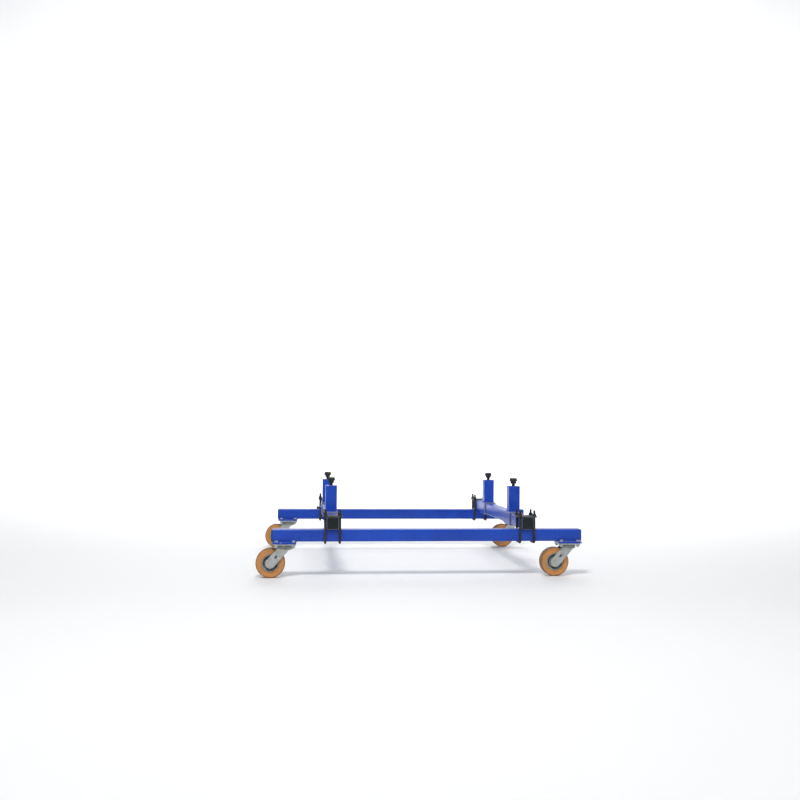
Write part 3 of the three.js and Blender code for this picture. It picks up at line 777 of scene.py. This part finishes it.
# axle bolt: chamfered head and nut on washers, with the thread's end past the nut
def casterAxle(name, at):
    look, node = axleLook, f"caster_axle_{name}"
    low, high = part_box(node)
    spot = at["hub"]
    leg, washer, radius = casterLook["legOut"], look["washer"], look["radius"]
    piece = Piece()
    nutSide = 1 if high.y - spot[1] > spot[1] - low.y else -1
    for sign in (-1, 1):
        faces = sorted((sign * leg, sign * (leg + washer)))
        piece.loft(washerRings(look["washerBore"], look["washerOut"], *faces, "y", spot),
                   joined=True, wear=0.4)
        faces = sorted((sign * (leg + washer), sign * (leg + look["head"] + casterLook["gap"])))
        piece.loft(hexRings(look["flats"], *faces, "y", spot), wear=0.6)
    tip = (high.y if nutSide > 0 else low.y) - spot[1]
    shank = sorted((-nutSide * (leg - look["lap"]), tip * look["shankShare"]))
    piece.loft(turnedRings([(radius, shank[0]), (radius, shank[1])], "y", spot, 24), wear=0.3)
    thread = [(radius, nutSide * leg), (radius, (nutSide * leg + tip) / 2),
              (radius * look["tipShare"], tip)][::nutSide]
    piece.loft(turnedRings(thread, "y", spot, 24), wear=0.4)
    piece.finish(f"{node}_bolt", f"{name}_swivel", "zinc", node)


wheelLook = {"hub": 0.019, "hubHalf": 0.0295, "bore": 0.0064, "web": 0.0065, "webHub": 0.0125,
             "rimIn": 0.0395, "rimHalf": 0.023, "coreOut": 0.046, "spokes": 5, "spokeRise": 0.0022,
             "hubRound": (0.002, 0.003), "draft": 0.0012, "foot": 0.004, "footDrop": 0.0008,
             "webRun": 0.0075, "groove": (0.0026, 0.001), "rimRound": (0.0014, 0.002), "ease": 0.0008,
             "paintedShade": 0.9, "edge": 0.002}


# cast core, turned from half a profile and its mirror: hub, a web that falls as a cone to a groove
# inside the rim, and the rim; the web swells by a raised cosine of the angle into broad low spokes
def wheelCore(name, at):
    look = wheelLook
    hubOut, hubHalf, webHub, web = look["hub"], look["hubHalf"], look["webHub"], look["web"]
    rimIn, rimHalf, coreOut, ease = look["rimIn"], look["rimHalf"], look["coreOut"], look["ease"]
    footAt, footHigh = hubOut + look["foot"], webHub - look["footDrop"]
    hub = softened([(look["bore"], hubHalf), (hubOut - look["hubRound"][0], hubHalf),
                    (hubOut, hubHalf - look["hubRound"][1]), (hubOut + look["draft"], webHub),
                    (footAt, footHigh)], 0.0012, 3)
    fall = np.linspace(0, 1, 9)[1:]
    cone = np.stack([footAt + fall * (rimIn - hubOut - look["webRun"]),
                     footHigh - fall * (footHigh - web)], 1)
    rim = softened([(rimIn - look["groove"][0], web - look["groove"][1]), (rimIn - ease, web),
                    (rimIn, rimHalf - look["rimRound"][1]), (rimIn + look["rimRound"][0], rimHalf),
                    (coreOut - ease, rimHalf), (coreOut, rimHalf - ease)], 0.0011, 3)
    profile = mirrored(np.concatenate([hub, cone, rim]))
    radii, heights = profile[:, :1], profile[:, 1:]
    rings = turnedRings(profile, "y", at["hub"], 120)
    turn = np.arange(120) / 120 * tau
    swell = (0.5 + 0.5 * np.cos(turn * look["spokes"])) ** 2
    middle = (hubOut + rimIn) / 2
    fade = np.clip(1 - ((radii - middle) / ((rimIn - hubOut) / 2)) ** 4, 0, 1)
    rise = np.sign(heights) * fade * swell[None] * look["spokeRise"]
    rings[..., 1] += np.where(np.abs(heights) < webHub + 0.001, rise, 0)
    # wear value: up to 0.7 at the rim's edge, and negative over the outer half of the web, which paints
    # shade there in the grey finish
    wearAndShade = np.clip((radii - rimIn) / look["edge"], 0, 1) * 0.7 - look["paintedShade"] * fade * (radii > middle)
    piece = Piece().loft(rings, joined=True, wear=wearAndShade)
    piece.finish(f"wheel_core_{name}_casting", f"{name}_wheel", "grey_core",
                 f"wheel_core_{name}", sharp=40)


# the lip and its ease are measured from the core's rim; the moulding line is as radius and half width
treadLook = {"gap": 0.0003, "shoulder": 0.0065, "lipDepth": 0.004, "lipEase": 0.0009, "lipStart": 0.0012,
             "lipEnd": 0.0036, "side": 0.006, "sideDrop": 0.0014, "hollow": 0.0007,
             "line": ((0, 0.0016), (0.0003, 0.0006)), "track": 0.0085, "fade": 0.006, "paintedShade": 0.001}


# cast tread: a flat running face with a fine moulding line, round shoulders, side faces with a
# shallow hollow, which is half a sine deep, and a raised lip that laps the rim
def wheelTread(name, at):
    look = treadLook
    low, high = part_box(f"wheel_tread_{name}")
    radius, width = (high.z - low.z) / 2, (high.y - low.y) / 2
    inner, shoulder = wheelLook["coreOut"] + look["gap"], look["shoulder"]
    turn = np.linspace(0, math.pi / 2, 9)
    corner = np.stack([radius - shoulder + shoulder * np.sin(turn),
                       width - shoulder + shoulder * np.cos(turn)], 1)
    start, end = inner + look["side"], radius - shoulder
    lip = softened([(inner, width - look["lipDepth"]), (inner, width - look["lipEase"]),
                    (inner + look["lipStart"], width), (inner + look["lipEnd"], width),
                    (start, width - look["sideDrop"])], look["lipEase"], 3)
    spread = np.linspace(0, 1, 9)[1:-1]
    hollow = np.stack([start + (end - start) * spread, width - look["sideDrop"] * (1 - spread)
                       - look["hollow"] * np.sin(math.pi * spread)], 1)
    line = [(radius - depth, across) for depth, across in look["line"]]
    profile = mirrored(np.concatenate([lip, hollow, corner, line]))
    radii = profile[:, :1]
    # wear value: up to one over the running face and shoulders, and negative on the lip next to the core,
    # which paints a shadow line there in the amber finish
    wearAndShade = np.clip((radii - radius + look["track"]) / look["fade"], 0, 1)
    wearAndShade = wearAndShade - np.clip((inner + look["lipStart"] - radii) / look["paintedShade"], 0, 1)
    piece = Piece().loft(turnedRings(profile, "y", at["hub"], 120), joined=True, wear=wearAndShade)
    piece.finish(f"wheel_tread_{name}_tyre", f"{name}_wheel", "polyurethane",
                 f"wheel_tread_{name}")


clampLook = {"rod": 0.006, "bend": 0.012, "pitch": 0.00175, "threadLength": 0.052, "flats": 0.0185,
             "nut": 0.01, "washer": 0.012, "washerThick": 0.0025, "plate": 0.006, "corner": 0.005,
             "bevel": 0.0012, "washerBore": 0.0062, "nutBore": 0.0056, "lap": 0.001, "fade": 0.003}


# square-bend U: a round section carried down one leg, round two bends, and up the other; the
# threaded ends are helices of their own
def uBolt(name, end, at):
    look, node = clampLook, f"u_bolt_{name}_{end}"
    low, high, centre = extent(node)
    rod, bend = look["rod"], look["bend"]
    x, y = centre.x, centre.y
    reach = (high.y - low.y) / 2 - rod
    bar = low.z + rod
    threadStart = high.z - look["threadLength"]
    turn = np.linspace(0, math.pi / 2, 9)
    left = np.stack([-reach + bend - bend * np.cos(turn), bar + bend - bend * np.sin(turn)], 1)
    right = left[::-1] * np.array([-1, 1])
    path = np.concatenate([[(-reach, threadStart)], left, right, [(reach, threadStart)]])
    flow = np.gradient(path, axis=0)
    flow[0], flow[-1] = (0, -1), (0, 1)
    flow = flow / np.linalg.norm(flow, axis=1, keepdims=True)
    side = np.stack([-flow[:, 1], flow[:, 0]], 1)
    circle = roundLoop(rod, 24)
    rings = np.zeros((len(path), 24, 3))
    rings[..., 0] = x + circle[None, :, 0]
    rings[..., 1] = y + path[:, None, 0] + side[:, None, 0] * circle[None, :, 1]
    rings[..., 2] = path[:, None, 1] + side[:, None, 1] * circle[None, :, 1]
    piece = Piece().loft(rings, wear=0.3)
    for sign in (-1, 1):
        piece.loft(threadRings(rod, look["pitch"], threadStart - look["lap"], high.z, "z",
                               (x, y + sign * reach, 0), fade=look["fade"]), wear=0.35)
    piece.finish(f"{node}_rod", at["clampBody"], "black_steel", node)


# an eased plate, and a washer and a drilled nut at each of its four rods
def clampPlate(name, at):
    look, node = clampLook, f"clamp_plate_{name}"
    low, high, centre = extent(node)
    half = (high - low) / 2
    top = low.z + look["plate"]
    over = top + look["washerThick"]
    plate = Piece().loft(plateRings(half.x, half.y, look["corner"], low.z, top, look["bevel"],
                                    "z", (centre.x, centre.y, 0)), wear=plateWear)
    plate.finish(f"{node}_steel", at["clampBody"], "black_steel", node)
    nuts = Piece()
    for end in ("front", "rear"):
        rodLow, rodHigh, rod = extent(f"u_bolt_{name}_{end}")
        for sign in (-1, 1):
            spot = (rod.x, centre.y + sign * ((rodHigh.y - rodLow.y) / 2 - look["rod"]), 0)
            nuts.loft(washerRings(look["washerBore"], look["washer"], top, over, "z", spot),
                      joined=True, wear=0.5)
            nuts.loft(hexRings(look["flats"], over, over + look["nut"], "z", spot,
                               look["nutBore"]), joined=True, wear=0.6)
    nuts.finish(f"clamp_nuts_{name}", at["clampBody"], "black_steel")


# a bead's rise and reach at the foot are shares of its radius; lock spans run out from the sleeve
postLook = {"sleeveWall": 0.006, "sleeveCorner": 0.007, "postHalf": 0.03175, "sunk": 0.002,
            "capShow": 0.004, "capBevel": 0.001, "bore": 0.0098, "bead": 0.0034, "beadRise": 0.3,
            "beadReach": 0.2, "capBead": 0.0016, "capIn": 0.0008, "capGap": 0.004, "capDrop": 0.0042,
            "lockFlats": 0.013, "lockSpread": 0.034, "lockNut": 0.016, "lockRadius": 0.005,
            "lockPitch": 0.0015, "lockSpans": ((-0.001, 0.008), (0.007, 0.021), (0.021, 0.0285))}


# four beads round a square, each along one side at a distance from its middle
def squareBeads(welds, centre, edge, reach, height, radius):
    for sx, sy in ((1, 0), (-1, 0), (0, 1), (0, -1)):
        run = Vector((sy, sx, 0)) * reach
        spot = Vector((centre.x + sx * edge, centre.y + sy * edge, height))
        weldBead(welds, spot - run, spot + run, radius)


# sleeve, post and cap, with ripple beads where they are welded
def postCarrier(name, at):
    look, node, body = postLook, f"post_carrier_{name}", f"{name}_post"
    low, high, centre = extent(node)
    sleeveHalf, half, bead = (high.x - low.x) / 2, look["postHalf"], look["bead"]
    sleeveMiddle, sleeveTop, capLow = low.z + sleeveHalf, low.z + 2 * sleeveHalf, high.z - look["capShow"]
    spot = (centre.x, centre.y, 0)
    piece = Piece()
    squareTube(piece, sleeveHalf, low.y, high.y, "y", (centre.x, 0, sleeveMiddle),
               wall=look["sleeveWall"], corner=look["sleeveCorner"])
    squareTube(piece, half, sleeveTop - look["sunk"], capLow, "z", spot)
    piece.loft(plateRings(half, half, tubeLook["corner"], capLow, high.z, look["capBevel"], "z", spot,
                          look["bore"]), joined=True, wear=np.vstack([[0.5], plateWear, [0.5]]))
    piece.finish(f"{node}_weldment", body, "blue_paint", node)
    welds = Piece()
    rise = bead * look["beadRise"]
    squareBeads(welds, centre, half + rise, half + bead * look["beadReach"], sleeveTop + rise, bead)
    squareBeads(welds, centre, half - look["capIn"], half - look["capGap"], high.z - look["capDrop"],
                look["capBead"])
    welds.finish(f"post_weld_{name}", body, "blue_paint")
    lockScrews(name, at, centre, sleeveHalf, sleeveMiddle, body)


# two lock screws through welded nuts in the sleeve's outer wall
def lockScrews(name, at, centre, sleeveHalf, sleeveMiddle, body):
    look, sign = postLook, at["along"]
    nutSpan, threadSpan, headSpan = (sorted((sign * a, sign * b)) for a, b in look["lockSpans"])
    piece, boss = Piece(), Piece()
    for offset in (-1, 1):
        spot = (centre.x + sign * sleeveHalf, centre.y + offset * look["lockSpread"], sleeveMiddle)
        boss.loft(hexRings(look["lockNut"], *nutSpan, "x", spot), wear=0.5)
        piece.loft(threadRings(look["lockRadius"], look["lockPitch"], *threadSpan, "x", spot), wear=0.4)
        piece.loft(hexRings(look["lockFlats"], *headSpan, "x", spot), wear=0.6)
    boss.finish(f"lock_nuts_{name}", body, "blue_paint")
    piece.finish(f"lock_screws_{name}", body, "black_steel")


stemLook = {"radius": 0.0095, "pitch": 0.0025, "fade": 0.002, "lap": 0.003, "collarFlats": 0.030,
            "collar": 0.013, "cup": 0.022, "cupHeight": 0.008, "cupWall": 0.0017, "cupFloor": 0.0025,
            "neck": (0.0145, 0.0014), "neckOut": 0.016, "collarGap": 0.0012, "soft": 0.0008}
middleHole = 0.0005  # radius at which a turned shape's ends are capped


# threaded stem, hexagon collar, and a cup turned from its section
def saddleStem(name, at):
    look, node = stemLook, f"saddle_stem_{name}"
    low, high, centre = extent(node)
    spot = (centre.x, centre.y, 0)
    cup, wall, (neck, neckDrop) = look["cup"], look["cupWall"], look["neck"]
    cupLow = high.z - look["cupHeight"]
    floor, collarLow = cupLow + look["cupFloor"], cupLow - look["collar"]
    piece = Piece()
    piece.loft(threadRings(look["radius"], look["pitch"], low.z, collarLow + look["lap"], "z", spot,
                           fade=look["fade"], count=28), wear=0.3)
    piece.loft(hexRings(look["collarFlats"], collarLow, cupLow - look["collarGap"], "z", spot), wear=0.6)
    profile = softened([(middleHole, cupLow - neckDrop), (neck, cupLow - neckDrop),
                        (look["neckOut"], cupLow), (cup, cupLow), (cup, high.z), (cup - wall, high.z),
                        (cup - wall, floor), (middleHole, floor)], look["soft"])
    piece.loft(turnedRings(profile, "z", spot, 64), wear=0.5)
    piece.finish(f"{node}_screw", f"{name}_saddle", "black_steel", node)


padLook = {"round": 0.002, "start": 0.0028, "end": 0.0015, "depth": 0.0006, "pitch": 0.0042,
           "flatten": 0.6, "tip": 0.0003}


# rubber pad: an eased disc whose top is grooved in rings, by a clipped sine of the radius
def saddlePad(name, at):
    look, node = padLook, f"saddle_pad_{name}"
    low, high, centre = extent(node)
    radius, ease = (high.x - low.x) / 2, look["round"]
    turn = np.linspace(0, math.pi / 2, 6)
    shoulder = np.stack([radius - ease + ease * np.cos(turn), high.z - ease + ease * np.sin(turn)], 1)
    r = np.linspace(radius - look["start"], look["end"], 46)
    wave = np.sin((radius - r) / look["pitch"] * tau) * 2 - look["flatten"]
    groove = look["depth"] * np.clip(wave, 0, 1)
    profile = np.concatenate([[(middleHole, low.z), (radius, low.z)], shoulder,
                              np.stack([r, high.z - groove], 1), [(look["tip"], high.z)]])
    wearAndShade = np.clip((profile[:, 1] - high.z + ease) / ease, 0, 1)[:, None]
    piece = Piece().loft(turnedRings(profile, "z", (centre.x, centre.y, 0), 64), wear=wearAndShade)
    piece.finish(f"{node}_disc", f"{name}_saddle", "rubber", node, sharp=45)


tubes()
print("tubes made")
for corner in cornerNames:
    places = cornerPlaces(corner)
    for make in (mountPlate, plateBolts, casterPlate, casterFork, casterAxle, wheelCore, wheelTread):
        make(corner, places)
    for which in ("front", "rear"):
        uBolt(corner, which, places)
    for make in (clampPlate, postCarrier, saddleStem, saddlePad):
        make(corner, places)
    print("corner made:", corner)


roomLook = {"flat": 6.0, "bend": 3.0, "wall": 5.0, "inner": (2.5, 4.2), "drop": 0.0002, "around": 96,
            "colour": (0.80, 0.805, 0.81, 1), "shade": (0.74, 0.745, 0.75, 1)}


# studio bowl: a flat round floor that turns up into a wall, as radius and height of one profile
def studio():
    look = roomLook
    flat, bend, around = look["flat"], look["bend"], look["around"]
    turn = np.linspace(0, math.pi / 2, 24)
    curve = np.stack([flat + bend * np.sin(turn), bend * (1 - np.cos(turn))], 1)
    profile = np.concatenate([[(radius, 0.0) for radius in look["inner"]], curve,
                              [(flat + bend, bend + look["wall"])]])
    rings = turnedRings(profile, "z", (0, 0, -look["drop"]), around)
    ids = np.arange(len(rings) * around).reshape(-1, around)
    quads = np.stack([ids[:-1], ids[1:], np.roll(ids[1:], -1, 1), np.roll(ids[:-1], -1, 1)], 2)
    mesh = bpy.data.meshes.new("studio_floor")
    mesh.from_pydata(rings.reshape(-1, 3).tolist(), [], quads.reshape(-1, 4).tolist() + [ids[0].tolist()])
    mesh.polygons.foreach_set("use_smooth", [True] * len(mesh.polygons))
    made = Finish("studio_paper")
    tone = made.noise(0.6, 3)
    mesh.materials.append(made.feed(
        Base_Color=made.blend(tone * 0.08, look["colour"], look["shade"]),
        Roughness=0.62 + tone * 0.1))
    floor = added("studio_floor", mesh)


# each lamp: place, the point it is aimed at, size, power and colour; the last one lights the wall
lampLook = {
    "key_lamp": ((-1.0, -3.5, 4.8), (0, 0, 0.2), 1.1, 196, (1.0, 0.99, 0.97)),
    "fill_lamp": ((4.2, -4.4, 2.6), (0, 0, 0.2), 2.6, 26, (0.96, 0.98, 1.0)),
    "rear_lamp": ((0.8, 5.0, 5.4), (0, 0, 0.2), 2.6, 60, (1.0, 1.0, 1.0)),
    "wall_lamp": ((0.5, 3.4, 6.4), (1.0, 8.9, 2.4), 3.0, 560, (1.0, 1.0, 1.0)),
}


skyLook = {"colour": (0.93, 0.955, 1.0, 1), "strength": 0.4}


# area lamps turned to face their points, and a pale even sky
def lamps():
    for name, (place, target, size, power, colour) in lampLook.items():
        data = bpy.data.lights.new(name, "AREA")
        data.size, data.energy, data.color = size, power, colour
        lamp = added(name, data)
        lamp.location = place
        aim = Vector(target) - Vector(place)
        lamp.rotation_mode = "QUATERNION"
        lamp.rotation_quaternion = aim.to_track_quat("-Z", "Y")
    world = bpy.data.worlds.new("studio_sky")
    world.use_nodes = True
    sky = world.node_tree.nodes["Background"]
    sky.inputs["Color"].default_value = skyLook["colour"]
    sky.inputs["Strength"].default_value = skyLook["strength"]
    bpy.context.scene.world = world
    bpy.context.scene.view_settings.view_transform = "Standard"


cameraLook = {"place": (-0.6413, -5.2761, 0.7496), "yaw": 0.1112, "pitch": 0.0398, "roll": 0.0107,
              "sensor": 36.0, "reach": 1.0967}


# the camera's axes: forward from yaw and pitch, right level with the floor, then rolled
def camera():
    yaw, pitch, roll = cameraLook["yaw"], cameraLook["pitch"], cameraLook["roll"]
    forward = Vector((math.sin(yaw) * math.cos(pitch), math.cos(yaw) * math.cos(pitch), math.sin(pitch)))
    level = Vector((math.cos(yaw), -math.sin(yaw), 0))
    upright = level.cross(forward)
    right = level * math.cos(roll) + upright * math.sin(roll)
    up = upright * math.cos(roll) - level * math.sin(roll)
    data = bpy.data.cameras.new("camera")
    data.sensor_width = cameraLook["sensor"]
    data.lens = cameraLook["sensor"] * cameraLook["reach"]
    made = added("camera", data)
    turned = Matrix((right, up, -forward)).transposed().to_4x4()
    made.matrix_world = Matrix.Translation(cameraLook["place"]) @ turned
    bpy.context.scene.camera = made


studio()
lamps()
camera()
print("studio made")
